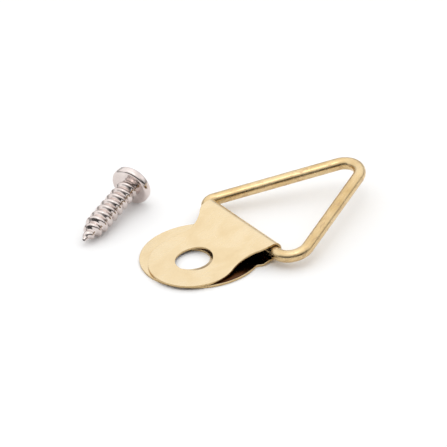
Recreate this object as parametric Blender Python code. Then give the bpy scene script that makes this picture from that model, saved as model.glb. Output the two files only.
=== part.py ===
"""One-hole picture hanger: a folded sheet strap, the triangular wire ring that
hinges in its fold, and the pan-head screw that lies beside it.

Units are metres. +X runs along the strap from the leaf's tip towards the ring's
point, +Y runs across it and +Z rises from the back leaf, which lies on z = 0.
The origin is a point of the back face on the centreline, between the screw hole
and the tip. Every node's lengths come from the named sizes below.
"""
import math

import bmesh
import bpy
from mathutils import Matrix, Vector

mm = 0.001

# Sheet strap
sheet_thickness = 0.38 * mm
origin_to_hole = 5.6 * mm
hole_to_fold_axis = 10.0 * mm
ear_half_width = 9.1 * mm
fold_axis_height = 1.88 * mm
wire_running_gap = 0.13 * mm
fold_lean = math.radians(3.0)

# Back leaf, which lies against the wall
back_hole_diameter = 6.2 * mm
back_notch_from_hole = 7.0 * mm
back_notch_from_leaf_centre = 5.05 * mm
back_notch_depth = 0.7 * mm
back_notch_radius = 0.6 * mm
back_ear_radius = 1.5 * mm
back_ear_from_hole = 8.15 * mm
back_neck_length = 0.4 * mm
back_rise_radius = 4.0 * mm

# Front leaf, which is smaller, comes down a ramp from the fold and lies on the back leaf
front_hole_diameter = 6.4 * mm
front_leaf_radius = 7.75 * mm
front_waist_radius = 5.0 * mm
front_ear_radius = 3.6 * mm
front_ear_from_hole = 10.2 * mm
crown_slope = math.radians(4.0)
crown_length = 0.9 * mm
crown_bend_radius = 2.5 * mm
ramp_slope = math.radians(26.0)
ramp_bend_radius = 19.0 * mm
leaf_gap = 0.06 * mm

# Triangular ring, one bent wire whose ends meet inside the fold
wire_diameter = 2.05 * mm
ring_base = 25.9 * mm
ring_height = 26.7 * mm
ring_sideways = -1.75 * mm
near_bend_radius = 3.0 * mm
far_bend_radius = 1.3 * mm
point_bend_radius = 3.15 * mm
wire_end_gap = 0.15 * mm
ring_lift = math.radians(8.9)

# Pan-head screw
screw_length = 14.1 * mm
screw_head_diameter = 6.9 * mm
screw_head_height = 1.85 * mm
head_rim_height = 0.75 * mm
head_underside_round = 0.3 * mm
thread_diameter = 3.8 * mm
root_diameter = 2.75 * mm
thread_pitch = 1.52 * mm
thread_start = 0.7 * mm
tip_taper_length = 4.2 * mm
tip_point_radius = 0.22 * mm
screw_roll = math.radians(0)
recess_depth = 1.15 * mm
recess_span = 3.3 * mm
recess_slot_width = 0.75 * mm
recess_floor_share = 0.35
screw_head_from_hole = (2.5 * mm, 21.1 * mm)
screw_heading = math.radians(201.7)
floor_gap = 0.02 * mm
weld_distance = 0.0001 * mm

# Facets
outline_steps = 10
fold_step = math.radians(15.0)
leaf_steps = 5
hole_sides = 36
wire_resolution = 6
bend_step = math.radians(12.0)
screw_sides = 24
head_steps = 5
# One thread turn as (share of the pitch, share of the thread's depth)
thread_shares = ((0.0, 0.0), (0.34, 0.04), (0.62, 1.0), (0.76, 1.0))

# Derived sizes
back_notch_half_width = ear_half_width - back_notch_depth
back_leaf_radius = math.hypot(back_notch_from_leaf_centre, back_notch_half_width)
back_centre_from_hole = back_notch_from_hole - back_notch_from_leaf_centre
wire_radius = wire_diameter / 2
fold_inner_radius = wire_radius + wire_running_gap
fold_middle_radius = fold_inner_radius + sheet_thickness / 2
fold_axis_x = origin_to_hole + hole_to_fold_axis
back_fold_height = fold_axis_height - fold_middle_radius
back_rise = back_fold_height - sheet_thickness / 2


def remove_everything():
    for thing in list(bpy.data.objects):
        bpy.data.objects.remove(thing, do_unlink=True)


def material(name, colour, roughness, metallic):
    made = bpy.data.materials.new(name)
    made.use_nodes = True
    shader = made.node_tree.nodes["Principled BSDF"]
    shader.inputs["Base Color"].default_value = (*colour, 1)
    shader.inputs["Roughness"].default_value = roughness
    shader.inputs["Metallic"].default_value = metallic
    return made


def new_object(name, bm, finish):
    mesh = bpy.data.meshes.new(name)
    bm.to_mesh(mesh)
    bm.free()
    mesh.shade_smooth()
    mesh.set_sharp_from_angle(angle=math.radians(35))
    mesh.materials.append(finish)
    made = bpy.data.objects.new(name, mesh)
    bpy.context.collection.objects.link(made)
    return made


def arc(centre, radius, start, end, steps):
    """Points on an arc, both ends included."""
    points = []
    for i in range(steps + 1):
        angle = start + (end - start) * i / steps
        points.append((centre[0] + radius * math.cos(angle), centre[1] + radius * math.sin(angle)))
    return points


def tangent_centre(first, first_radius, second, second_radius, own_radius):
    """Centre of the circle that touches two circles from outside, on the outer side."""
    a = first_radius + own_radius
    b = second_radius + own_radius
    dx = second[0] - first[0]
    dy = second[1] - first[1]
    apart = math.hypot(dx, dy)
    along = (a * a - b * b + apart * apart) / (2 * apart)
    across = math.sqrt(a * a - along * along)
    return (
        first[0] + (along * dx - across * dy) / apart,
        first[1] + (along * dy + across * dx) / apart,
    )


def bearing(a, b):
    return math.atan2(b[1] - a[1], b[0] - a[0])


def leaf_half_outline(radius, centre, notch_radius, ear_radius, ear):
    """Half of a leaf's edge, from the tip to the ear; x counts from the hole's centre."""
    leaf = (centre, 0)
    round_ear = (ear, ear_half_width - ear_radius)
    notch = tangent_centre(leaf, radius, round_ear, ear_radius, notch_radius)
    points = arc(leaf, radius, math.pi, bearing(leaf, notch), outline_steps * 3)
    to_leaf = bearing(notch, leaf) + math.tau
    to_ear = bearing(notch, round_ear) + math.tau
    points += arc(notch, notch_radius, to_leaf, to_ear, outline_steps)[1:]
    from_notch = bearing(round_ear, notch)
    points += arc(round_ear, ear_radius, from_notch, math.pi / 2, outline_steps)[1:]
    return points


def slope_bend(radius, before, after):
    """Run and drop of a bend that takes the front leaf from one slope to another."""
    run = radius * abs(math.sin(after) - math.sin(before))
    drop = radius * abs(math.cos(after) - math.cos(before))
    return run, drop


def strap_route():
    """The sheet's middle line as runs and bends, walked from the back leaf's tip."""
    back_reach = back_leaf_radius - back_centre_from_hole
    rise_angle = math.acos(1 - back_rise / (2 * back_rise_radius))
    rise_length = 2 * back_rise_radius * math.sin(rise_angle)
    rise_start = hole_to_fold_axis - back_neck_length - rise_length
    crown_bend = slope_bend(crown_bend_radius, crown_slope, ramp_slope)
    ramp_bend = slope_bend(ramp_bend_radius, ramp_slope, 0)
    run = fold_middle_radius * math.sin(crown_slope) + crown_length * math.cos(crown_slope)
    run += crown_bend[0] + ramp_bend[0]
    drop = crown_length * math.sin(crown_slope) + crown_bend[1] + ramp_bend[1]
    top = fold_axis_height + fold_middle_radius * math.cos(crown_slope)
    front_rest = 1.5 * sheet_thickness + leaf_gap
    ramp_length = (top - front_rest - drop) / math.sin(ramp_slope)
    run += ramp_length * math.cos(ramp_slope)
    flat_length = front_leaf_radius + hole_to_fold_axis - run
    return [
        (back_reach + rise_start, 0),
        (back_rise_radius * rise_angle, rise_angle),
        (back_rise_radius * rise_angle, -rise_angle),
        (back_neck_length, 0),
        (fold_middle_radius * (math.pi + crown_slope), math.pi + crown_slope),
        (crown_length, 0),
        (crown_bend_radius * (ramp_slope - crown_slope), ramp_slope - crown_slope),
        (ramp_length, 0),
        (ramp_bend_radius * ramp_slope, -ramp_slope),
        (flat_length, 0),
    ]


def walk(route, distance):
    """Position, heading and inward normal of the sheet's middle line at a distance."""
    x = origin_to_hole - (back_leaf_radius - back_centre_from_hole)
    z = sheet_thickness / 2
    heading = 0.0
    last = len(route) - 1
    for i, (length, turn) in enumerate(route):
        part = distance if i == last else min(distance, length)
        bend = turn * part / length
        if turn:
            radius = length / turn
            x += radius * (math.sin(heading + bend) - math.sin(heading))
            z += radius * (math.cos(heading) - math.cos(heading + bend))
        else:
            x += part * math.cos(heading)
            z += part * math.sin(heading)
        heading += bend
        distance -= part
        if distance <= 0 and i < last:
            break
    return x, z, -math.sin(heading), math.cos(heading)


def stations(route):
    """Distances at which the flat blank is scored, so that it can follow its bends."""
    cuts = []
    start = 0.0
    for length, turn in route:
        steps = 1
        if abs(turn) > math.pi / 2:
            steps = math.ceil(abs(turn) / fold_step)
        elif turn:
            steps = leaf_steps
        cuts += [start + length * i / steps for i in range(steps)]
        start += length
    return cuts[1:]


def loop_edges(bm, points):
    verts = [bm.verts.new((x, y, -sheet_thickness / 2)) for x, y in points]
    return [bm.edges.new((verts[i - 1], verts[i])) for i in range(len(verts))]


def leaned(point, fold_start, fold_end):
    """The fold isn't quite square to the blank, so each leaf leans away to its own side."""
    x, y = point
    from_fold = max(fold_start - x, 0) + max(x - fold_end, 0)
    side = 1 if x < fold_start else -1
    return x, y + side * from_fold * math.tan(fold_lean)


def circle(centre, radius, sides):
    return arc(centre, radius, 0, math.tau, sides)[:-1]


def front_hole_distance(route):
    """Distance along the sheet of the front hole, found from its place over the back hole."""
    low = sum(length for length, turn in route[:5])
    high = sum(length for length, turn in route)
    for _ in range(60):
        middle = (low + high) / 2
        if walk(route, middle)[0] > origin_to_hole:
            low = middle
        else:
            high = middle
    return low


def make_strap(finish):
    """The blank is drawn flat, given its thickness, scored and bent round the wire."""
    route = strap_route()
    back_hole = back_leaf_radius - back_centre_from_hole
    front_hole = front_hole_distance(route)
    back_half = leaf_half_outline(
        back_leaf_radius, back_centre_from_hole,
        back_notch_radius, back_ear_radius, back_ear_from_hole,
    )
    front_half = leaf_half_outline(
        front_leaf_radius, 0,
        front_waist_radius, front_ear_radius, front_ear_from_hole,
    )
    half = [(back_hole + x, y) for x, y in back_half]
    half += [(front_hole - x, y) for x, y in reversed(front_half)]
    mirrored = [(x, -y) for x, y in reversed(half[1:-1])]
    fold_start = sum(length for length, turn in route[:4])
    fold_end = fold_start + route[4][0]
    bm = bmesh.new()
    edges = []
    for loop in (
        half + mirrored,
        circle((back_hole, 0), back_hole_diameter / 2, hole_sides),
        circle((front_hole, 0), front_hole_diameter / 2, hole_sides),
    ):
        edges += loop_edges(bm, [leaned(point, fold_start, fold_end) for point in loop])
    bmesh.ops.triangle_fill(bm, use_beauty=True, edges=edges, normal=(0, 0, 1))
    grown = bmesh.ops.extrude_face_region(bm, geom=list(bm.faces))
    top = [item for item in grown["geom"] if isinstance(item, bmesh.types.BMVert)]
    bmesh.ops.translate(bm, verts=top, vec=(0, 0, sheet_thickness))
    for cut in stations(route):
        everything = bm.verts[:] + bm.edges[:] + bm.faces[:]
        bmesh.ops.bisect_plane(bm, geom=everything, plane_co=(cut, 0, 0), plane_no=(1, 0, 0))
    for vert in bm.verts:
        x, z, normal_x, normal_z = walk(route, vert.co.x)
        height = vert.co.z
        vert.co = (x + height * normal_x, vert.co.y, z + height * normal_z)
    bmesh.ops.triangulate(bm, faces=bm.faces[:])
    bmesh.ops.recalc_face_normals(bm, faces=bm.faces[:])
    return new_object("hanger_strap", bm, finish)


def rounded_corner(corner, before, after, radius):
    """Points of the bend that replaces a corner of the wire's route."""
    corner = Vector(corner)
    to_before = (Vector(before) - corner).normalized()
    to_after = (Vector(after) - corner).normalized()
    half = to_before.angle(to_after) / 2
    centre = corner + (to_before + to_after).normalized() * radius / math.sin(half)
    start = corner + to_before * radius / math.tan(half) - centre
    end = corner + to_after * radius / math.tan(half) - centre
    turn = start.angle_signed(end)
    steps = math.ceil(abs(turn) / bend_step)
    points = []
    for i in range(steps + 1):
        point = start.copy()
        point.rotate(Matrix.Rotation(-turn * i / steps, 2))
        points.append(centre + point)
    return points


def ring_route():
    """The wire's centre line in the ring's own plane, from one butt end to the other."""
    near = (0, ring_sideways - ring_base / 2)
    far = (0, ring_sideways + ring_base / 2)
    point = (ring_height, ring_sideways)
    route = [Vector((0, -wire_end_gap / 2))]
    route += rounded_corner(near, far, point, near_bend_radius)
    route += rounded_corner(point, near, far, point_bend_radius)
    route += rounded_corner(far, point, near, far_bend_radius)
    route.append(Vector((0, wire_end_gap / 2)))
    return route


def make_ring(finish):
    route = ring_route()
    curve = bpy.data.curves.new("triangle_ring", "CURVE")
    curve.dimensions = "3D"
    curve.bevel_depth = wire_radius
    curve.bevel_resolution = wire_resolution
    curve.use_fill_caps = True
    spline = curve.splines.new("POLY")
    spline.points.add(len(route) - 1)
    for place, point in zip(route, spline.points):
        point.co = (place.x, place.y, 0, 1)
    curve.materials.append(finish)
    ring = bpy.data.objects.new("triangle_ring", curve)
    bpy.context.collection.objects.link(ring)
    ring.location = (fold_axis_x, 0, fold_axis_height)
    ring.rotation_euler = (0, -ring_lift, 0)
    return ring


def screw_envelope(depth):
    """Root and crest radius at a depth below the head, tapering to the point."""
    root = root_diameter / 2
    crest = thread_diameter / 2
    taper_start = screw_length - tip_taper_length
    share = max(0.0, (depth - taper_start) / tip_taper_length)
    root += (tip_point_radius - root) * share
    crest += (tip_point_radius - crest) * share ** 1.6
    start_share = min(1.0, max(0.0, depth / thread_start))
    crest = root + (crest - root) * start_share
    return root, crest


def thread_columns(bm):
    """Right-hand thread as columns of points, clockwise; each starts a little further down."""
    per_turn = len(thread_shares)
    turns = math.ceil(screw_length / thread_pitch) + 3
    columns = []
    for k in range(screw_sides):
        angle = -math.tau * k / screw_sides
        column = []
        for i in range(turns * per_turn):
            share, height = thread_shares[i % per_turn]
            depth = (i // per_turn - 2 + share + k / screw_sides) * thread_pitch
            depth = min(max(depth, 0.0), screw_length)
            root, crest = screw_envelope(depth)
            radius = root + (crest - root) * height
            place = (radius * math.cos(angle), radius * math.sin(angle), -depth)
            column.append(bm.verts.new(place))
        columns.append(column)
    for k in range(screw_sides):
        last = k == screw_sides - 1
        here = columns[k]
        there = columns[0] if last else columns[k + 1]
        shift = per_turn if last else 0
        for i in range(len(here) - 1 - shift):
            bm.faces.new((here[i], here[i + 1], there[i + 1 + shift], there[i + shift]))
    bottom = [column[-1] for column in columns]
    bm.faces.new(bottom)


def head_profile():
    """Half section of the pan head, from the shank outwards and up to the crown."""
    outer = screw_head_diameter / 2
    quarter = math.pi / 2
    under = (outer - head_underside_round, head_underside_round)
    points = [(root_diameter / 2, 0)]
    points += arc(under, head_underside_round, -quarter, 0, head_steps // 2)
    crown = screw_head_height - head_underside_round - head_rim_height
    for i in range(head_steps * 2):
        angle = quarter * i / (head_steps * 2)
        height = head_underside_round + head_rim_height + crown * math.sin(angle) ** 0.9
        points.append((outer * math.cos(angle) ** 0.7, height))
    return points


def head_rings(bm):
    rings = []
    for radius, height in head_profile():
        ring = []
        for x, y in circle((0, 0), radius, screw_sides):
            ring.append(bm.verts.new((x, y, height)))
        rings.append(ring)
    for lower, upper in zip(rings, rings[1:]):
        for k in range(screw_sides):
            near = k - 1
            bm.faces.new((lower[near], lower[k], upper[k], upper[near]))
    crown = bm.verts.new((0, 0, screw_head_height))
    for k in range(screw_sides):
        bm.faces.new((rings[-1][k - 1], rings[-1][k], crown))


def recess_cutter(name, turn, screw):
    """One tapered slot of the cross recess."""
    bm = bmesh.new()
    bmesh.ops.create_cube(bm, size=1)
    height = 2 * recess_depth
    for vert in bm.verts:
        low = vert.co.z < 0
        narrow = recess_floor_share if low else 2 - recess_floor_share
        vert.co.x *= recess_span * narrow
        vert.co.y *= recess_slot_width
        vert.co.z = screw_head_height + vert.co.z * height
    bmesh.ops.rotate(bm, verts=bm.verts[:], matrix=Matrix.Rotation(turn, 3, "Z"))
    mesh = bpy.data.meshes.new(name)
    bm.to_mesh(mesh)
    bm.free()
    cutter = bpy.data.objects.new(name, mesh)
    bpy.context.collection.objects.link(cutter)
    cutter.parent = screw
    cutter.hide_render = True
    cutter.display_type = "WIRE"
    cut = screw.modifiers.new(name, "BOOLEAN")
    cut.operation = "DIFFERENCE"
    cut.solver = "EXACT"
    cut.object = cutter


def lying_screw_matrix():
    """The screw rests on its head's rim and on the last full thread."""
    head_radius = screw_head_diameter / 2
    thread_radius = thread_diameter / 2
    reach = screw_length - tip_taper_length + head_underside_round
    tilt = math.atan((head_radius - thread_radius) / reach)
    height = head_radius * math.cos(tilt) + head_underside_round * math.sin(tilt) + floor_gap
    along = Matrix.Rotation(screw_heading, 4, "Z") @ Matrix.Rotation(tilt, 4, "Y")
    upright = Matrix.Rotation(-math.pi / 2, 4, "Y")
    place = Matrix.Translation(
        (origin_to_hole + screw_head_from_hole[0], screw_head_from_hole[1], height)
    )
    return place @ along @ upright @ Matrix.Rotation(screw_roll, 4, "Z")


def make_screw(finish):
    bm = bmesh.new()
    head_rings(bm)
    thread_columns(bm)
    bmesh.ops.remove_doubles(bm, verts=bm.verts[:], dist=weld_distance)
    bmesh.ops.recalc_face_normals(bm, faces=bm.faces[:])
    screw = new_object("mounting_screw", bm, finish)
    screw.matrix_world = lying_screw_matrix()
    recess_cutter("recess_cutter_a", 0, screw)
    recess_cutter("recess_cutter_b", math.pi / 2, screw)
    return screw


remove_everything()
strap_finish = material("brass_plated_sheet", (0.86, 0.70, 0.42), 0.22, 1.0)
wire_finish = material("brass_plated_wire", (0.83, 0.62, 0.33), 0.25, 1.0)
screw_finish = material("nickel_plated_steel", (0.78, 0.73, 0.71), 0.2, 1.0)
make_strap(strap_finish)
make_ring(wire_finish)
make_screw(screw_finish)
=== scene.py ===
# %% [markdown]
# # A one-hole picture hanger and its screw
#
# The real thing is three pieces: a strap folded from one blank of brass-plated
# sheet, a triangle bent from one length of brass-plated wire, whose base lies in
# the strap's fold and turns there, and a nickel-plated pan-head screw, which
# lies beside it. Each is made here the way a workshop makes it, because then the
# small things come out right by themselves: the even thickness of the folded
# sheet, the round wire in its bends, the pitch of the thread.
#
# The frame gives every piece its place and its body, so it is loaded first.

# %% Load the frame
import math

import bmesh
import bpy
from mathutils import Matrix, Vector


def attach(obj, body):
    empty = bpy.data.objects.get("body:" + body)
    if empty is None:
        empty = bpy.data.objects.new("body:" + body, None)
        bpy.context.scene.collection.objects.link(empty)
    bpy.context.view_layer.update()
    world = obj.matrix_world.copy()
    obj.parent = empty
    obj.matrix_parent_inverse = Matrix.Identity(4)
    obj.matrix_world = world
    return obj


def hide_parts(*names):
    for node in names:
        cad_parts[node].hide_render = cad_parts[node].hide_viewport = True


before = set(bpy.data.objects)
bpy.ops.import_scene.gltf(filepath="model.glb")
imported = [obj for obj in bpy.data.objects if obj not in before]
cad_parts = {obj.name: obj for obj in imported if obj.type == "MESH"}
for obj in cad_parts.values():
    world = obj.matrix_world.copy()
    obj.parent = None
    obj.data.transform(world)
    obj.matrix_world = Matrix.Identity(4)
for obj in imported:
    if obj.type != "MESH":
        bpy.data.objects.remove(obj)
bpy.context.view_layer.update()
mm = 0.001

# %% [markdown]
# ## Camera
#
# The photograph looks down on the pieces from about 32 degrees, from the side of
# the strap's tip, with almost no perspective. A camera could be placed by hand
# and turned until it looks right. Here it is built from three angles, the scale
# of the picture and its distance, because these were fitted to the outlines: a
# long lens a metre away then shows the pieces as nearly parallel as the photo.

# %% Camera
picture_width = 447
picture_scale = 6.15 / mm
camera_distance = 1.0
camera_height_angle = math.radians(32.23)
camera_side_angle = math.radians(32.89)
camera_roll = math.radians(-5.46)
anchor_in_picture = (-4.857 * mm, -6.209 * mm)
picture_anchor = Vector((5.8 * mm, 0, 0))
sensor_width = 36


def camera_axes():
    """The camera's right, up and backward directions in the frame."""
    level_right = Vector((math.cos(camera_side_angle), -math.sin(camera_side_angle), 0))
    level_ahead = Vector((math.sin(camera_side_angle), math.cos(camera_side_angle), 0))
    rise = Vector((0, 0, 1))
    back = rise * math.sin(camera_height_angle) - level_ahead * math.cos(camera_height_angle)
    up = rise * math.cos(camera_height_angle) + level_ahead * math.sin(camera_height_angle)
    right = level_right * math.cos(camera_roll) + up * math.sin(camera_roll)
    up = up * math.cos(camera_roll) - level_right * math.sin(camera_roll)
    return right, up, back


right, up, back = camera_axes()
camera_place = picture_anchor + back * camera_distance
camera_place -= right * anchor_in_picture[0] + up * anchor_in_picture[1]
lens = bpy.data.cameras.new("photo_camera")
lens.sensor_width = sensor_width
lens.lens = picture_scale * camera_distance / picture_width * sensor_width
lens.clip_start = camera_distance / 100
lens.clip_end = camera_distance * 10
camera = bpy.data.objects.new("photo_camera", lens)
bpy.context.collection.objects.link(camera)
camera_turn = Matrix((right, up, back)).transposed().to_4x4()
camera.matrix_world = Matrix.Translation(camera_place) @ camera_turn
bpy.context.scene.camera = camera
print("lens", round(lens.lens, 1), "mm at", tuple(round(v, 3) for v in camera_place))

# %% [markdown]
# ## Floor and light
#
# The pieces lie on a bright white ground with hardly a shadow. A floor lit by one
# big lamp would throw a clear shadow, so nearly all the light comes from a pale
# room all round that is brightest overhead, with one small soft lamp for a glint.
# Bright metal shows mostly what stands around it, and a room that is white
# everywhere would make it look like paper. So a long dark card stands on the side
# from which the photo was taken: every round form shows it as a dark streak along
# its middle. The card belongs to the room, so it stays put in every other view.
# The plain colour transform keeps white paper white and gold gold, where a
# film-like one would wash both towards grey.

# %% Floor
floor_half_width = 1.5
floor_drop = 0.05 * mm
floor_colour = (0.98, 0.98, 0.98, 1)
floor_roughness = 0.9

bm = bmesh.new()
bmesh.ops.create_grid(bm, x_segments=2, y_segments=2, size=floor_half_width)
bmesh.ops.translate(bm, verts=bm.verts[:], vec=(0, 0, -floor_drop))
floor_mesh = bpy.data.meshes.new("studio_floor")
bm.to_mesh(floor_mesh)
bm.free()
floor = bpy.data.objects.new("studio_floor", floor_mesh)
bpy.context.collection.objects.link(floor)
floor_paper = bpy.data.materials.new("white_paper")
floor_paper.use_nodes = True
paper = floor_paper.node_tree.nodes["Principled BSDF"]
paper.inputs["Base Color"].default_value = floor_colour
paper.inputs["Roughness"].default_value = floor_roughness
floor_mesh.materials.append(floor_paper)
print("floor", floor_half_width * 2, "m square")

# %% Shades of the room
# How high above the horizon as a share, and how bright the room is there
room_shades = ((0.0, 0.26), (0.12, 0.32), (0.27, 0.84), (0.44, 1.17), (0.80, 1.15), (1.0, 1.55))
# The same heights again, and what share of the room's light the card leaves there
card_shades = ((0.0, 0.3), (0.05, 0.10), (0.30, 0.12), (0.40, 0.22), (0.56, 0.38), (0.66, 1.0))
# How far a direction points to the photo's side, and how far the card reaches there
card_reach = ((0.20, 0.0), (0.42, 1.0))

bpy.context.scene.view_settings.view_transform = "Standard"
room = bpy.data.worlds.new("pale_room")
room.use_nodes = True
bpy.context.scene.world = room
nodes = room.node_tree.nodes
links = room.node_tree.links


def shade_ramp(source, shades):
    """Grey shades along a value: shades are (position, brightness)."""
    ramp = nodes.new("ShaderNodeValToRGB")
    stops = ramp.color_ramp.elements
    for stop, (position, shade) in zip(stops, (shades[0], shades[-1])):
        stop.position, stop.color = position, (shade, shade, shade, 1)
    for position, shade in shades[1:-1]:
        stops.new(position).color = (shade, shade, shade, 1)
    links.new(source, ramp.inputs["Fac"])
    return ramp.outputs["Color"]


print("room has", len(room_shades), "shades from the horizon up")

# %% Room and dark card
direction = nodes.new("ShaderNodeTexCoord")
height = nodes.new("ShaderNodeSeparateXYZ")
links.new(direction.outputs["Generated"], height.inputs["Vector"])
links.new(shade_ramp(height.outputs["Z"], room_shades), nodes["Background"].inputs["Color"])
to_card = nodes.new("ShaderNodeVectorMath")
to_card.operation = "DOT_PRODUCT"
to_card.inputs[1].default_value = (-math.sin(camera_side_angle), -math.cos(camera_side_angle), 0)
links.new(direction.outputs["Generated"], to_card.inputs[0])
card = nodes.new("ShaderNodeMix")
card.inputs["A"].default_value = 1
links.new(shade_ramp(to_card.outputs["Value"], card_reach), card.inputs["Factor"])
links.new(shade_ramp(height.outputs["Z"], card_shades), card.inputs["B"])
links.new(card.outputs["Result"], nodes["Background"].inputs["Strength"])
print("room and card are", len(nodes), "nodes")

# %% Soft lamp
lamp_power = 0.3
lamp_size = 0.25
lamp_place = Vector((-0.17, -0.26, 0.95))

lamp = bpy.data.lights.new("soft_lamp", "AREA")
lamp.shape = "DISK"
lamp.size = lamp_size
lamp.energy = lamp_power
lamp_object = bpy.data.objects.new("soft_lamp", lamp)
bpy.context.collection.objects.link(lamp_object)
lamp_object.location = lamp_place
lamp_object.rotation_euler = lamp_place.to_track_quat("Z", "Y").to_euler()
print("lamp", lamp_power, "W,", lamp_size, "m across")

# %% [markdown]
# ## Helpers for every piece
#
# Each piece ends the same way: its mesh becomes an object at the origin, rides
# on its body, and replaces the plain node of the frame. One helper does this, so
# no step is forgotten on any piece. A second gives the arc that a bend makes,
# as a spin of points, which is how nearly every form here is drawn.

# %% Helpers
weld_distance = 0.0001 * mm


def finish_piece(name, bm, body, node, finish):
    """Turn a bmesh into a smooth piece that stands for one node of the frame."""
    mesh = bpy.data.meshes.new(name)
    bm.to_mesh(mesh)
    bm.free()
    mesh.shade_smooth()
    mesh.materials.append(finish)
    piece = bpy.data.objects.new(name, mesh)
    bpy.context.collection.objects.link(piece)
    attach(piece, body)
    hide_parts(node)
    print(name, len(mesh.vertices), "points", len(mesh.polygons), "faces")
    return piece


def spin_point(bm, point, centre, turn, steps):
    """Sweep one point along an arc and give the arc's last point."""
    swept = bmesh.ops.spin(
        bm, geom=[point], cent=(*centre, 0), axis=(0, 0, 1), dvec=(0, 0, 0),
        angle=turn, steps=steps, use_duplicate=False,
    )
    return [item for item in swept["geom_last"] if isinstance(item, bmesh.types.BMVert)][0]


def bearing(a, b):
    return math.atan2(b[1] - a[1], b[0] - a[0])


# %% [markdown]
# ## Finishes
#
# All three finishes are metal, so their colour is in the reflection. A single
# colour and roughness would look like a rendering of metal rather than metal:
# plated sheet has faint rolling lines along it, cloudy patches where it was
# handled, and a duller cut edge; drawn wire has lines along its length and
# scuffs; plated screws have tiny marks. The patterns read each piece's own
# "worked from" attribute: the place a point had on the flat blank, on the
# straight wire or on the upright screw. So the lines follow the metal round its
# bends, as they do on the real one, and stay with it when the piece moves.
#
# The strap's inner side looks almost black-brown where one looks into the fold,
# because the closed gap lies in shade and the inner face there only reflects the
# other leaf's dark underside. Shadow alone would leave it gold. So the sheet's
# inner side has a painted shade, but only from the near ear into the fold: the far
# end of the back leaf, which peeps out past the front leaf, is as gold as the
# rest. The punched edge is browner than the faces, as a sheared edge is rougher.

# %% Finish helpers


def new_finish(name, attribute):
    """An empty metal finish whose patterns follow an attribute of the piece."""
    finish = bpy.data.materials.new(name)
    finish.use_nodes = True
    shader = finish.node_tree.nodes["Principled BSDF"]
    shader.inputs["Metallic"].default_value = 1
    place = finish.node_tree.nodes.new("ShaderNodeAttribute")
    place.attribute_name = attribute
    return finish, shader, place.outputs["Vector"]


def noise_of(finish, place, stretch, detail=4, warp=0):
    """Noise over the piece; stretch gives its lumps per metre along each axis."""
    tree = finish.node_tree
    mapping = tree.nodes.new("ShaderNodeMapping")
    mapping.inputs["Scale"].default_value = stretch
    noise = tree.nodes.new("ShaderNodeTexNoise")
    noise.inputs["Scale"].default_value = 1
    noise.inputs["Detail"].default_value = detail
    noise.inputs["Distortion"].default_value = warp
    tree.links.new(place, mapping.inputs["Vector"])
    tree.links.new(mapping.outputs["Vector"], noise.inputs["Vector"])
    return noise.outputs["Fac"]


def ramp_of(finish, source, stops):
    """Colours along a ramp: stops are (position, colour)."""
    tree = finish.node_tree
    ramp = tree.nodes.new("ShaderNodeValToRGB")
    elements = ramp.color_ramp.elements
    elements[0].position, elements[0].color = stops[0][0], (*stops[0][1], 1)
    elements[1].position, elements[1].color = stops[-1][0], (*stops[-1][1], 1)
    for position, colour in stops[1:-1]:
        elements.new(position).color = (*colour, 1)
    tree.links.new(source, ramp.inputs["Fac"])
    return ramp.outputs["Color"]


def level_of(finish, source, low, high, out_low, out_high):
    """Map a value's range to another, clamped at both ends."""
    tree = finish.node_tree
    mapped = tree.nodes.new("ShaderNodeMapRange")
    ends = {"From Min": low, "From Max": high, "To Min": out_low, "To Max": out_high}
    for socket, value in ends.items():
        mapped.inputs[socket].default_value = value
    tree.links.new(source, mapped.inputs["Value"])
    return mapped.outputs["Result"]


def sum_of(finish, a, b, operation="ADD"):
    tree = finish.node_tree
    added = tree.nodes.new("ShaderNodeMath")
    added.operation = operation
    tree.links.new(a, added.inputs[0])
    tree.links.new(b, added.inputs[1])
    return added.outputs["Value"]


def mix_of(finish, factor, a, b):
    tree = finish.node_tree
    mixed = tree.nodes.new("ShaderNodeMix")
    mixed.data_type = "RGBA"
    tree.links.new(factor, mixed.inputs["Factor"])
    for socket, value in (("A", a), ("B", b)):
        target = [i for i in mixed.inputs if i.name == socket and i.type == "RGBA"][0]
        if isinstance(value, tuple):
            target.default_value = (*value, 1)
        else:
            tree.links.new(value, target)
    return [o for o in mixed.outputs if o.type == "RGBA"][0]


def bump_of(finish, shader, layers):
    """Bumps one on another: layers are (height value, depth in metres)."""
    tree = finish.node_tree
    below = None
    for source, depth in layers:
        bump = tree.nodes.new("ShaderNodeBump")
        bump.inputs["Strength"].default_value = 1
        bump.inputs["Distance"].default_value = depth
        tree.links.new(source, bump.inputs["Height"])
        if below:
            tree.links.new(below, bump.inputs["Normal"])
        below = bump.outputs["Normal"]
    tree.links.new(below, shader.inputs["Normal"])


# %% Plated sheet
# Where the painted shade of the inner side reaches, from and to: across the blank, then along it
painted_shade_side_reach = (-1 * mm, -4 * mm)
painted_shade_hole_reach = (5 * mm, 7 * mm)
painted_shade_fold_reach = (14 * mm, 16 * mm)

sheet_finish, shader, place = new_finish("brass_plated_sheet", "blank_place")
links = sheet_finish.node_tree.links
clouds = noise_of(sheet_finish, place, (260, 260, 260), detail=3, warp=0.4)
rolling = noise_of(sheet_finish, place, (500, 9000, 9000), detail=3)
specks = noise_of(sheet_finish, place, (5200, 5200, 5200), detail=2)
gold = ramp_of(sheet_finish, clouds, (
    (0.30, (0.77, 0.60, 0.36)),
    (0.52, (0.81, 0.65, 0.41)),
    (0.74, (0.84, 0.69, 0.46)),
))
inner_side = sheet_finish.node_tree.nodes.new("ShaderNodeAttribute")
inner_side.attribute_name = "inner_side"
cut_edge = sheet_finish.node_tree.nodes.new("ShaderNodeAttribute")
cut_edge.attribute_name = "cut_edge"
blank_axes = sheet_finish.node_tree.nodes.new("ShaderNodeSeparateXYZ")
links.new(place, blank_axes.inputs["Vector"])
painted_shade_by_side = level_of(sheet_finish, blank_axes.outputs["Y"], *painted_shade_side_reach, 0, 1)
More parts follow.
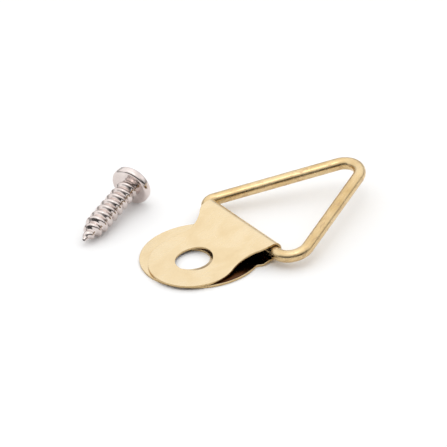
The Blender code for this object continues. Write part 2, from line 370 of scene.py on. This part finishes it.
painted_shade_by_hole = level_of(sheet_finish, blank_axes.outputs["X"], *painted_shade_hole_reach, 0, 1)
painted_shade_by_fold = level_of(sheet_finish, blank_axes.outputs["X"], *painted_shade_fold_reach, 0, 1)
# Painted shade: the inner side darkens towards the near side past the hole and all through the
# fold, standing in for the gap's shade and dark reflection
painted_gap_shade = sum_of(sheet_finish, painted_shade_by_side, painted_shade_by_hole, "MULTIPLY")
painted_gap_shade = sum_of(sheet_finish, painted_gap_shade, painted_shade_by_fold, "MAXIMUM")
painted_gap_shade = sum_of(sheet_finish, painted_gap_shade, inner_side.outputs["Fac"], "MULTIPLY")
# The dark brown here is painted shade, not the metal's own colour
colour = mix_of(sheet_finish, painted_gap_shade, gold, (0.085, 0.03, 0.008))
colour = mix_of(sheet_finish, cut_edge.outputs["Fac"], colour, (0.60, 0.43, 0.22))
links.new(colour, shader.inputs["Base Color"])
cloud_roughness = level_of(sheet_finish, clouds, 0.3, 0.75, 0.20, 0.30)
line_roughness = level_of(sheet_finish, rolling, 0.35, 0.7, -0.02, 0.04)
links.new(sum_of(sheet_finish, cloud_roughness, line_roughness), shader.inputs["Roughness"])
bump_of(sheet_finish, shader, (
    (clouds, 0.012 * mm), (rolling, 0.0006 * mm), (specks, 0.0004 * mm),
))
print(sheet_finish.name, len(sheet_finish.node_tree.nodes), "nodes")

# %% Drawn wire
wire_finish, shader, place = new_finish("brass_plated_wire", "wire_place")
links = wire_finish.node_tree.links
patches = noise_of(wire_finish, place, (240, 420, 420), detail=4, warp=0.6)
drawing = noise_of(wire_finish, place, (160, 5200, 5200), detail=3)
scuffs = noise_of(wire_finish, place, (900, 1700, 1700), detail=5, warp=0.8)
gold = ramp_of(wire_finish, patches, (
    (0.28, (0.62, 0.43, 0.20)),
    (0.50, (0.72, 0.535, 0.29)),
    (0.75, (0.80, 0.63, 0.38)),
))
scuff_share = level_of(wire_finish, scuffs, 0.52, 0.66, 0, 0.8)
links.new(mix_of(wire_finish, scuff_share, gold, (0.56, 0.39, 0.21)), shader.inputs["Base Color"])
base_roughness = level_of(wire_finish, patches, 0.3, 0.75, 0.19, 0.30)
scuff_roughness = level_of(wire_finish, scuffs, 0.52, 0.72, 0, 0.16)
links.new(sum_of(wire_finish, base_roughness, scuff_roughness), shader.inputs["Roughness"])
bump_of(wire_finish, shader, (
    (patches, 0.025 * mm), (drawing, 0.002 * mm), (scuffs, 0.010 * mm),
))
print(wire_finish.name, len(wire_finish.node_tree.nodes), "nodes")

# %% Nickel plate
nickel_finish, shader, place = new_finish("nickel_plated_steel", "screw_place")
links = nickel_finish.node_tree.links
clouds = noise_of(nickel_finish, place, (500, 500, 500), detail=3)
marks = noise_of(nickel_finish, place, (2600, 2600, 1200), detail=4, warp=0.5)
nickel = ramp_of(nickel_finish, clouds, (
    (0.30, (0.61, 0.53, 0.50)),
    (0.52, (0.71, 0.63, 0.60)),
    (0.75, (0.80, 0.72, 0.69)),
))
links.new(nickel, shader.inputs["Base Color"])
cloud_roughness = level_of(nickel_finish, clouds, 0.3, 0.75, 0.10, 0.18)
mark_roughness = level_of(nickel_finish, marks, 0.55, 0.72, 0, 0.14)
links.new(sum_of(nickel_finish, cloud_roughness, mark_roughness), shader.inputs["Roughness"])
bump_of(nickel_finish, shader, ((clouds, 0.012 * mm), (marks, 0.003 * mm)))
print(nickel_finish.name, len(nickel_finish.node_tree.nodes), "nodes")

# %% [markdown]
# ## The strap's blank
#
# On the real hanger a press punches the blank: a leaf with a round tip and a hole
# at each end, waisted beside the ears where the fold will be. The outline could be
# one long list of points. Here one point at the leaf's tip is spun about the
# leaf's centre, then about the notch's, then about the ear's, as a pair of
# compasses would draw it, and the mirror tool makes the other half.

# %% Sizes of the strap
sheet_thickness = 0.38 * mm
origin_to_hole = 5.6 * mm
hole_to_fold_axis = 10.0 * mm
ear_half_width = 9.1 * mm
fold_axis_height = 1.88 * mm
wire_running_gap = 0.13 * mm
fold_lean = math.radians(3.0)
back_hole_diameter = 6.2 * mm
back_notch_from_hole = 7.0 * mm
back_notch_from_leaf_centre = 5.05 * mm
back_notch_depth = 0.7 * mm
back_notch_radius = 0.6 * mm
back_ear_radius = 1.5 * mm
back_ear_from_hole = 8.15 * mm
back_neck_length = 0.4 * mm
back_rise_radius = 4.0 * mm
front_hole_diameter = 6.4 * mm
front_leaf_radius = 7.75 * mm
front_waist_radius = 5.0 * mm
front_ear_radius = 3.6 * mm
front_ear_from_hole = 10.2 * mm
crown_slope = math.radians(4.0)
crown_length = 0.9 * mm
crown_bend_radius = 2.5 * mm
ramp_slope = math.radians(26.0)
ramp_bend_radius = 19.0 * mm
leaf_gap = 0.06 * mm
wire_radius = 1.025 * mm
back_notch_half_width = ear_half_width - back_notch_depth
back_leaf_radius = math.hypot(back_notch_from_leaf_centre, back_notch_half_width)
back_centre_from_hole = back_notch_from_hole - back_notch_from_leaf_centre
fold_middle_radius = wire_radius + wire_running_gap + sheet_thickness / 2
fold_axis_x = origin_to_hole + hole_to_fold_axis
back_rise = fold_axis_height - fold_middle_radius - sheet_thickness / 2
back_reach = back_leaf_radius - back_centre_from_hole
print("back leaf reaches", round(back_reach / mm, 2), "mm past its hole")

# %% Route of the folded sheet


def slope_bend(radius, before, after):
    """Run and drop of a bend that takes the front leaf from one slope to another."""
    run = radius * abs(math.sin(after) - math.sin(before))
    drop = radius * abs(math.cos(after) - math.cos(before))
    return run, drop


def strap_route():
    """The sheet's middle line as (length, turn), from the back leaf's tip."""
    rise_angle = math.acos(1 - back_rise / (2 * back_rise_radius))
    rise_length = 2 * back_rise_radius * math.sin(rise_angle)
    rise_start = hole_to_fold_axis - back_neck_length - rise_length
    crown_bend = slope_bend(crown_bend_radius, crown_slope, ramp_slope)
    ramp_bend = slope_bend(ramp_bend_radius, ramp_slope, 0)
    run = fold_middle_radius * math.sin(crown_slope) + crown_length * math.cos(crown_slope)
    run += crown_bend[0] + ramp_bend[0]
    drop = crown_length * math.sin(crown_slope) + crown_bend[1] + ramp_bend[1]
    top = fold_axis_height + fold_middle_radius * math.cos(crown_slope)
    ramp_length = (top - 1.5 * sheet_thickness - leaf_gap - drop) / math.sin(ramp_slope)
    run += ramp_length * math.cos(ramp_slope)
    return [
        (back_reach + rise_start, 0),
        (back_rise_radius * rise_angle, rise_angle),
        (back_rise_radius * rise_angle, -rise_angle),
        (back_neck_length, 0),
        (fold_middle_radius * (math.pi + crown_slope), math.pi + crown_slope),
        (crown_length, 0),
        (crown_bend_radius * (ramp_slope - crown_slope), ramp_slope - crown_slope),
        (ramp_length, 0),
        (ramp_bend_radius * ramp_slope, -ramp_slope),
        (front_leaf_radius + hole_to_fold_axis - run, 0),
    ]


def walk(distance):
    """Place and inward normal of the sheet's middle line at a distance along it."""
    x = origin_to_hole - back_reach
    z = sheet_thickness / 2
    heading = 0.0
    for i, (length, turn) in enumerate(route):
        last = i == len(route) - 1
        step = distance if last else min(distance, length)
        bend = turn * step / length
        if turn:
            radius = length / turn
            x += radius * (math.sin(heading + bend) - math.sin(heading))
            z += radius * (math.cos(heading) - math.cos(heading + bend))
        else:
            x += step * math.cos(heading)
            z += step * math.sin(heading)
        heading += bend
        distance -= step
        if distance <= 0 and not last:
            break
    return x, z, -math.sin(heading), math.cos(heading)


route = strap_route()
fold_start = sum(length for length, turn in route[:4])
fold_end = fold_start + route[4][0]
front_hole = sum(length for length, turn in route) - front_leaf_radius
print("blank is", round((front_hole + front_leaf_radius) / mm, 2), "mm long")

# %% Outline of the blank
leaf_arc_steps = 60
notch_arc_steps = 14
ear_arc_steps = 18
hole_sides = 72


def notch_centre(leaf, leaf_radius, ear, ear_radius, radius):
    """Centre of the small arc that touches the leaf and the ear from outside."""
    a = leaf_radius + radius
    b = ear_radius + radius
    across, along = ear[1] - leaf[1], ear[0] - leaf[0]
    apart = math.hypot(along, across)
    foot = (a * a - b * b + apart * apart) / (2 * apart)
    side = math.sqrt(a * a - foot * foot)
    x = leaf[0] + (foot * along - side * across) / apart
    y = leaf[1] + (foot * across + side * along) / apart
    return x, y


def draw_half_leaf(bm, leaf_radius, centre, notch_radius, ear_radius, ear_from_hole):
    """Half of a leaf's edge, drawn from its tip to its ear; x counts from the hole."""
    leaf = (centre, 0)
    ear = (ear_from_hole, ear_half_width - ear_radius)
    notch = notch_centre(leaf, leaf_radius, ear, ear_radius, notch_radius)
    tip = bm.verts.new((centre - leaf_radius, 0, 0))
    end = spin_point(bm, tip, leaf, bearing(leaf, notch) - math.pi, leaf_arc_steps)
    end = spin_point(bm, end, notch, bearing(notch, ear) - bearing(notch, leaf), notch_arc_steps)
    return spin_point(bm, end, ear, math.pi / 2 - bearing(ear, notch), ear_arc_steps)


blank = bmesh.new()
back_end = draw_half_leaf(
    blank, back_leaf_radius, back_centre_from_hole,
    back_notch_radius, back_ear_radius, back_ear_from_hole,
)
bmesh.ops.translate(blank, verts=blank.verts[:], vec=(back_reach, 0, 0))
back_points = set(blank.verts)
front_end = draw_half_leaf(
    blank, front_leaf_radius, 0, front_waist_radius, front_ear_radius, front_ear_from_hole,
)
front_points = [point for point in blank.verts if point not in back_points]
bmesh.ops.scale(blank, verts=front_points, vec=(-1, 1, 1))
bmesh.ops.translate(blank, verts=front_points, vec=(front_hole, 0, 0))
blank.edges.new((back_end, front_end))
bmesh.ops.mirror(blank, geom=blank.verts[:] + blank.edges[:], axis="Y", merge_dist=weld_distance)
for place, diameter in ((back_reach, back_hole_diameter), (front_hole, front_hole_diameter)):
    bmesh.ops.create_circle(
        blank, segments=hole_sides, radius=diameter / 2, matrix=Matrix.Translation((place, 0, 0)),
    )
print("outline has", len(blank.edges), "edges")

# %% [markdown]
# ## Punching, rounding and folding the blank
#
# The fold of the real hanger isn't quite square to the blank, so the two leaves
# lean apart by a few degrees, and their holes don't quite line up. After that
# lean the outline is filled, extruded to the sheet's thickness, and its edges
# are rounded as the press leaves them. Only then is it bent. A lattice or a
# bend modifier could curl it, but neither keeps the sheet's thickness along a
# route of several bends, so the flat blank is scored with cuts wherever it has to
# bend, and every point is walked along the route of the sheet's middle line.

# %% Punch the blank
rim_round = 0.07 * mm
rim_segments = 3
rim_least_angle = math.radians(60)
flat_angle = 0.01
level_share = 0.99
upright_share = 0.3

for point in blank.verts:
    from_fold = max(fold_start - point.co.x, 0) + max(point.co.x - fold_end, 0)
    side = 1 if point.co.x < fold_start else -1
    point.co.y += side * from_fold * math.tan(fold_lean)
bmesh.ops.triangle_fill(blank, use_beauty=True, edges=blank.edges[:], normal=(0, 0, 1))
bmesh.ops.dissolve_limit(
    blank, angle_limit=flat_angle, verts=blank.verts[:], edges=blank.edges[:],
    use_dissolve_boundaries=False,
)
bmesh.ops.translate(blank, verts=blank.verts[:], vec=(0, 0, -sheet_thickness / 2))
grown = bmesh.ops.extrude_face_region(blank, geom=blank.faces[:])
top = [item for item in grown["geom"] if isinstance(item, bmesh.types.BMVert)]
bmesh.ops.translate(blank, verts=top, vec=(0, 0, sheet_thickness))
bmesh.ops.recalc_face_normals(blank, faces=blank.faces[:])
print("blank is punched,", len(blank.faces), "faces")

# %% Round its rims and mark its sides
rim = [edge for edge in blank.edges if abs(edge.verts[0].co.z - edge.verts[1].co.z) < weld_distance
       and edge.calc_face_angle(0) > rim_least_angle]
bmesh.ops.bevel(
    blank, geom=rim, offset=rim_round, offset_type="OFFSET", affect="EDGES",
    segments=rim_segments, profile=0.5, material=-1, clamp_overlap=True,
)
cut_edge_layer = blank.faces.layers.float.new("cut_edge")
inner_side_layer = blank.faces.layers.float.new("inner_side")
for face in blank.faces:
    face[cut_edge_layer] = 1.0 if abs(face.normal.z) < upright_share else 0.0
    face[inner_side_layer] = 1.0 if face.normal.z > level_share else 0.0
print("blank has", len(blank.faces), "faces,", len(rim), "rim edges rounded")

# %% Fold the blank
fold_step = math.radians(5)
slope_step = math.radians(2)

start = 0.0
cuts = []
for length, turn in route:
    step = fold_step if abs(turn) > math.pi / 2 else slope_step
    steps = max(1, math.ceil(abs(turn) / step))
    cuts += [start + length * i / steps for i in range(steps)]
    start += length
for cut in cuts[1:]:
    bmesh.ops.bisect_plane(
        blank, geom=blank.verts[:] + blank.edges[:] + blank.faces[:],
        plane_co=(cut, 0, 0), plane_no=(1, 0, 0), dist=weld_distance,
    )
blank_place = blank.verts.layers.float_vector.new("blank_place")
for point in blank.verts:
    point[blank_place] = point.co
    x, z, normal_x, normal_z = walk(point.co.x)
    above = point.co.z
    point.co = (x + above * normal_x, point.co.y, z + above * normal_z)
strap = finish_piece("folded_strap", blank, "strap", "hanger_strap", sheet_finish)
shading = strap.modifiers.new("flat_leaf_shading", "WEIGHTED_NORMAL")
shading.mode = "FACE_AREA"
shading.weight = 50
print("strap is scored at", len(cuts) - 1, "places")

# %% [markdown]
# ## The triangle of wire
#
# The real ring is cut from a coil, bent at three corners, and its two cut ends
# meet inside the strap's fold. A curve with a round bevel would give the shape
# in one step, but it can't round over the cut ends or carry its own straight
# length for the drawing lines. So a circle the size of the wire is pushed along:
# extruded for a straight run, spun for a bend. Every ring of points also keeps
# how far along the wire it lies.

# %% Sizes of the ring
ring_base = 25.9 * mm
ring_height = 26.7 * mm
ring_sideways = -1.75 * mm
near_bend_radius = 3.0 * mm
far_bend_radius = 1.3 * mm
point_bend_radius = 3.15 * mm
wire_end_gap = 0.15 * mm
ring_lift = math.radians(8.9)
wire_sides = 40
bend_step = math.radians(3)
wire_run_step = 0.8 * mm
end_round = 0.12 * mm
print("triangle is", ring_base / mm, "by", ring_height / mm, "mm along the wire's middle")

# %% Ways to push and bend the wire


def push_wire(loop, vector):
    """Extrude the wire's open end along a straight run, in short steps."""
    steps = max(1, round(vector.length / wire_run_step))
    for _ in range(steps):
        grown = bmesh.ops.extrude_edge_only(wire, edges=loop)["geom"]
        points = [item for item in grown if isinstance(item, bmesh.types.BMVert)]
        loop = [item for item in grown if isinstance(item, bmesh.types.BMEdge)
                and all(point in points for point in item.verts)]
        bmesh.ops.translate(wire, verts=points, vec=vector / steps)
        travelled.append((travelled[-1][0] + vector.length / steps, points))
    return loop


def bend_wire(loop, centre, turn, radius):
    """Spin the wire's open end round a bend."""
    steps = math.ceil(abs(turn) / bend_step)
    for _ in range(steps):
        spun = bmesh.ops.spin(
            wire, geom=loop, cent=(*centre, 0), axis=(0, 0, 1), dvec=(0, 0, 0),
            angle=turn / steps, steps=1, use_duplicate=False,
        )["geom_last"]
        points = [item for item in spun if isinstance(item, bmesh.types.BMVert)]
        loop = [item for item in spun if isinstance(item, bmesh.types.BMEdge)]
        travelled.append((travelled[-1][0] + abs(turn) * radius / steps, points))
    return loop


def corner_bend(corner, before, after, radius):
    """Where a corner's bend starts, its centre, its turn and where it ends."""
    corner = Vector(corner)
    to_before = (Vector(before) - corner).normalized()
    to_after = (Vector(after) - corner).normalized()
    half = to_before.angle(to_after) / 2
    centre = corner + (to_before + to_after).normalized() * radius / math.sin(half)
    start = corner + to_before * radius / math.tan(half)
    end = corner + to_after * radius / math.tan(half)
    turn = (end - centre).angle_signed(start - centre)
    return start, centre, turn, end


print("wire bends in steps of", round(math.degrees(bend_step)), "degrees")

# %% Bend the wire
near = (0, ring_sideways - ring_base / 2)
far = (0, ring_sideways + ring_base / 2)
point = (ring_height, ring_sideways)
corners = (
    (near, far, point, near_bend_radius),
    (point, near, far, point_bend_radius),
    (far, point, near, far_bend_radius),
)
wire = bmesh.new()
wire_place = wire.verts.layers.float_vector.new("wire_place")
first_end = Matrix.Translation((0, -wire_end_gap / 2, 0)) @ Matrix.Rotation(math.pi / 2, 4, "X")
bmesh.ops.create_circle(wire, segments=wire_sides, radius=wire_radius, matrix=first_end)
travelled = [(0.0, wire.verts[:])]
loop = wire.edges[:]
here = Vector((0, -wire_end_gap / 2))
for corner, before, after, radius in corners:
    start, centre, turn, end = corner_bend(corner, before, after, radius)
    loop = push_wire(loop, (start - here).to_3d())
    loop = bend_wire(loop, centre, turn, radius)
    here = end
loop = push_wire(loop, (Vector((0, wire_end_gap / 2)) - here).to_3d())
print("wire is", round(travelled[-1][0] / mm, 1), "mm long in", len(travelled), "rings")

# %% Wire's straight length and cut ends
for along, points in travelled:
    middle = sum((point.co for point in points), Vector()) / len(points)
    first_side = (points[0].co - middle).to_2d()
    for point in points:
        outwards = point.co - middle
        level = math.hypot(outwards.x, outwards.y)
        side = 1 if outwards.to_2d().dot(first_side) >= 0 else -1
        point[wire_place] = (along, side * level, outwards.z)
for _, points in (travelled[0], travelled[-1]):
    cap = wire.faces.new(sorted(points, key=lambda p: math.atan2(p.co.z, p.co.x)))
    bmesh.ops.bevel(
        wire, geom=list(cap.edges), offset=end_round, offset_type="OFFSET", affect="EDGES",
        segments=3, profile=0.5, material=-1, clamp_overlap=True,
    )
bmesh.ops.recalc_face_normals(wire, faces=wire.faces[:])
lift = Matrix.Translation((fold_axis_x, 0, fold_axis_height)) @ Matrix.Rotation(-ring_lift, 4, "Y")
bmesh.ops.transform(wire, matrix=lift, verts=wire.verts[:])
ring = finish_piece("bent_wire_ring", wire, "ring", "triangle_ring", wire_finish)
ring.modifiers.new("cap_shading", "WEIGHTED_NORMAL").weight = 50

# %% [markdown]
# ## The screw
#
# A heading machine presses the screw's pan head with its cross recess, and two
# dies roll the thread, which runs out under the head and down to a sharp tip.
# The head is one half section spun once round. The thread is one turn's profile
# spun many times round while it climbs, which makes a true right-hand helix;
# then each point is drawn in to the taper of the tip. A screw texture would be
# quicker but flat in outline, and the saw-tooth outline is what one sees.
#
# A rolled and plated thread has no sharp crest or valley: both are rounded, and
# the valley is filled a little. This matters to the look, because gentle slopes
# join the reflections of all the turns into one dark streak along the shank. The
# head's edge is rounded for the same reason, as it shows a dark line of its own.

# %% Sizes of the screw
screw_length = 14.1 * mm
screw_head_diameter = 6.9 * mm
screw_head_height = 1.85 * mm
head_rim_height = 0.5 * mm
head_underside_round = 0.55 * mm
head_rest_round = 0.3 * mm
thread_diameter = 3.8 * mm
root_diameter = 3.1 * mm
thread_pitch = 1.52 * mm
thread_start = 0.7 * mm
tip_taper_length = 4.2 * mm
tip_point_radius = 0.22 * mm
recess_depth = 1.15 * mm
recess_span = 3.3 * mm
recess_slot_width = 0.75 * mm
recess_floor_share = 0.35
screw_head_from_hole = (2.5 * mm, 21.1 * mm)
screw_heading = math.radians(201.7)
floor_gap = 0.02 * mm
turn_steps = 48
neck_gap = 0.06 * mm
crest_taper_power = 1.6

# One turn of the thread: share of the pitch, share of the thread's depth
thread_shares = (
    (0.0, 0.0), (0.10, 0.04), (0.20, 0.16), (0.32, 0.40), (0.44, 0.68), (0.56, 0.90),
    (0.66, 1.0), (0.76, 0.94), (0.84, 0.66), (0.92, 0.24), (1.0, 0.0),
)


def screw_envelope(depth):
    """Root and crest radius at a depth below the head, tapering to the point."""
    taper_start = screw_length - tip_taper_length
    share = max(0.0, (depth - taper_start) / tip_taper_length)
    root = root_diameter / 2
    crest = thread_diameter / 2
    root += (tip_point_radius - root) * share
    crest += (tip_point_radius - crest) * share ** crest_taper_power
    start_share = min(1.0, max(0.0, depth / thread_start))
    return root, root + (crest - root) * start_share


print("screw is", round(screw_length / mm, 1), "mm long under its head")

# %% Roll the thread
screw = bmesh.new()
turns = math.ceil(screw_length / thread_pitch) + 3
profile = [
    screw.verts.new((1 + height, 0, (1 - share) * thread_pitch))
    for share, height in thread_shares
]
profile_edges = [screw.edges.new(pair) for pair in zip(profile, profile[1:])]
bmesh.ops.spin(
    screw, geom=profile + profile_edges, cent=(0, 0, 0), axis=(0, 0, 1),
    dvec=(0, 0, -thread_pitch / turn_steps), angle=-math.tau * turns,
    steps=turn_steps * turns, use_duplicate=False,
)
bmesh.ops.remove_doubles(screw, verts=screw.verts[:], dist=weld_distance)
for cut, side in ((-neck_gap, 1), (-screw_length, -1)):
    bmesh.ops.bisect_plane(
        screw, geom=screw.verts[:] + screw.edges[:] + screw.faces[:],
        plane_co=(0, 0, cut), plane_no=(0, 0, side), clear_outer=True,
    )
for point in screw.verts:
    root, crest = screw_envelope(-point.co.z)
    height = math.hypot(point.co.x, point.co.y) - 1
    angle = math.atan2(point.co.y, point.co.x)
    radius = root + (crest - root) * height
    point.co.x = radius * math.cos(angle)
    point.co.y = radius * math.sin(angle)
open_ends = [edge for edge in screw.edges if edge.is_boundary]
neck = [edge for edge in open_ends if edge.verts[0].co.z > -screw_length / 2]
bmesh.ops.holes_fill(screw, edges=[edge for edge in open_ends if edge not in neck])
print("thread has", turns, "turns,", len(screw.faces), "faces")

# %% Spin the head
head_sides = 72
head_steps = 24
underside_steps = 5
crown_width_power = 0.7
crown_rise_power = 0.9

crown_rise = screw_head_height - head_underside_round - head_rim_height
outer = screw_head_diameter / 2
section = [(root_diameter / 2 + neck_gap, 0)]
for i in range(underside_steps + 1):
    angle = -math.pi / 2 + math.pi / 2 * i / underside_steps
    section.append((
        outer - head_underside_round + head_underside_round * math.cos(angle),
        head_underside_round + head_underside_round * math.sin(angle),
    ))
for i in range(head_steps):
    angle = math.pi / 2 * i / head_steps
    rise = head_underside_round + head_rim_height
    rise += crown_rise * math.sin(angle) ** crown_rise_power
    section.append((outer * math.cos(angle) ** crown_width_power, rise))
section.append((0, screw_head_height))
head_points = [screw.verts.new((radius, 0, height)) for radius, height in section]
head_edges = [screw.edges.new(pair) for pair in zip(head_points, head_points[1:])]
bmesh.ops.spin(
    screw, geom=head_points + head_edges, cent=(0, 0, 0), axis=(0, 0, 1), dvec=(0, 0, 0),
    angle=math.tau, steps=head_sides, use_merge=True, use_duplicate=False,
)
spun_points = [point for point in screw.verts if point.co.z > -neck_gap / 2]
bmesh.ops.remove_doubles(screw, verts=spun_points, dist=weld_distance)
gaps = [edge for edge in screw.edges if edge.is_boundary]
bmesh.ops.bridge_loops(screw, edges=gaps)
bmesh.ops.recalc_face_normals(screw, faces=screw.faces[:])
print("screw is closed:", all(edge.is_manifold for edge in screw.edges))

# %% Punch for the cross recess
wing_round = 0.12 * mm


def recess_tool(name, turn):
    """One tapered wing of the cross-shaped punch."""
    bm = bmesh.new()
    bmesh.ops.create_cube(bm, size=1)
    for corner in bm.verts:
        low = corner.co.z < 0
        corner.co.x *= recess_span * (recess_floor_share if low else 2 - recess_floor_share)
        corner.co.y *= recess_slot_width
        corner.co.z = screw_head_height + corner.co.z * 2 * recess_depth
    long_edges = [edge for edge in bm.edges
                  if abs(edge.verts[0].co.y - edge.verts[1].co.y) < weld_distance]
    bmesh.ops.bevel(
        bm, geom=long_edges, offset=wing_round, offset_type="OFFSET", affect="EDGES",
        segments=3, profile=0.5, material=-1, clamp_overlap=True,
    )
    bmesh.ops.rotate(bm, verts=bm.verts[:], matrix=Matrix.Rotation(turn, 3, "Z"))
    mesh = bpy.data.meshes.new(name)
    bm.to_mesh(mesh)
    bm.free()
    tool = bpy.data.objects.new(name, mesh)
    bpy.context.collection.objects.link(tool)
    return tool


tools = [recess_tool("recess_tool_a", 0), recess_tool("recess_tool_b", math.pi / 2)]
print("punch has", len(tools), "crossed wings")

# %% Press the recess
blank_mesh = bpy.data.meshes.new("screw_blank")
screw.to_mesh(blank_mesh)
screw.free()
screw_blank = bpy.data.objects.new("screw_blank", blank_mesh)
bpy.context.collection.objects.link(screw_blank)
for tool in tools:
    press = screw_blank.modifiers.new(tool.name, "BOOLEAN")
    press.operation = "DIFFERENCE"
    press.solver = "EXACT"
    press.object = tool
bpy.context.view_layer.update()
pressed = screw_blank.evaluated_get(bpy.context.evaluated_depsgraph_get())
screw = bmesh.new()
screw.from_mesh(pressed.to_mesh())
pressed.to_mesh_clear()
for thing in (*tools, screw_blank):
    bpy.data.objects.remove(thing, do_unlink=True)
print("recess pressed,", len(screw.faces), "faces")

# %% [markdown]
# The screw lies on its side, on the rim of its head and the last full turn of its
# thread, so its shank tilts a little. The tilt comes from those two radii, and the
# place is put into the mesh. It is the place of the frame's own screw, whose lowest
# point is a tenth of a millimetre above the ground, which is too little to see.

# %% Lay the screw down
sharp_angle = math.radians(40)

head_radius = screw_head_diameter / 2
reach = screw_length - tip_taper_length + head_rest_round
tilt = math.atan((head_radius - thread_diameter / 2) / reach)
height = head_radius * math.cos(tilt) + head_rest_round * math.sin(tilt) + floor_gap
screw_place = screw.verts.layers.float_vector.new("screw_place")
for point in screw.verts:
    point[screw_place] = point.co
head_place = (origin_to_hole + screw_head_from_hole[0], screw_head_from_hole[1], height)
lay_down = (
    Matrix.Translation(head_place)
    @ Matrix.Rotation(screw_heading, 4, "Z") @ Matrix.Rotation(tilt, 4, "Y")
    @ Matrix.Rotation(-math.pi / 2, 4, "Y")
)
bmesh.ops.transform(screw, matrix=lay_down, verts=screw.verts[:])
mounting_screw = finish_piece(
    "pan_head_screw", screw, "screw", "mounting_screw", nickel_finish,
)
mounting_screw.data.set_sharp_from_angle(angle=sharp_angle)
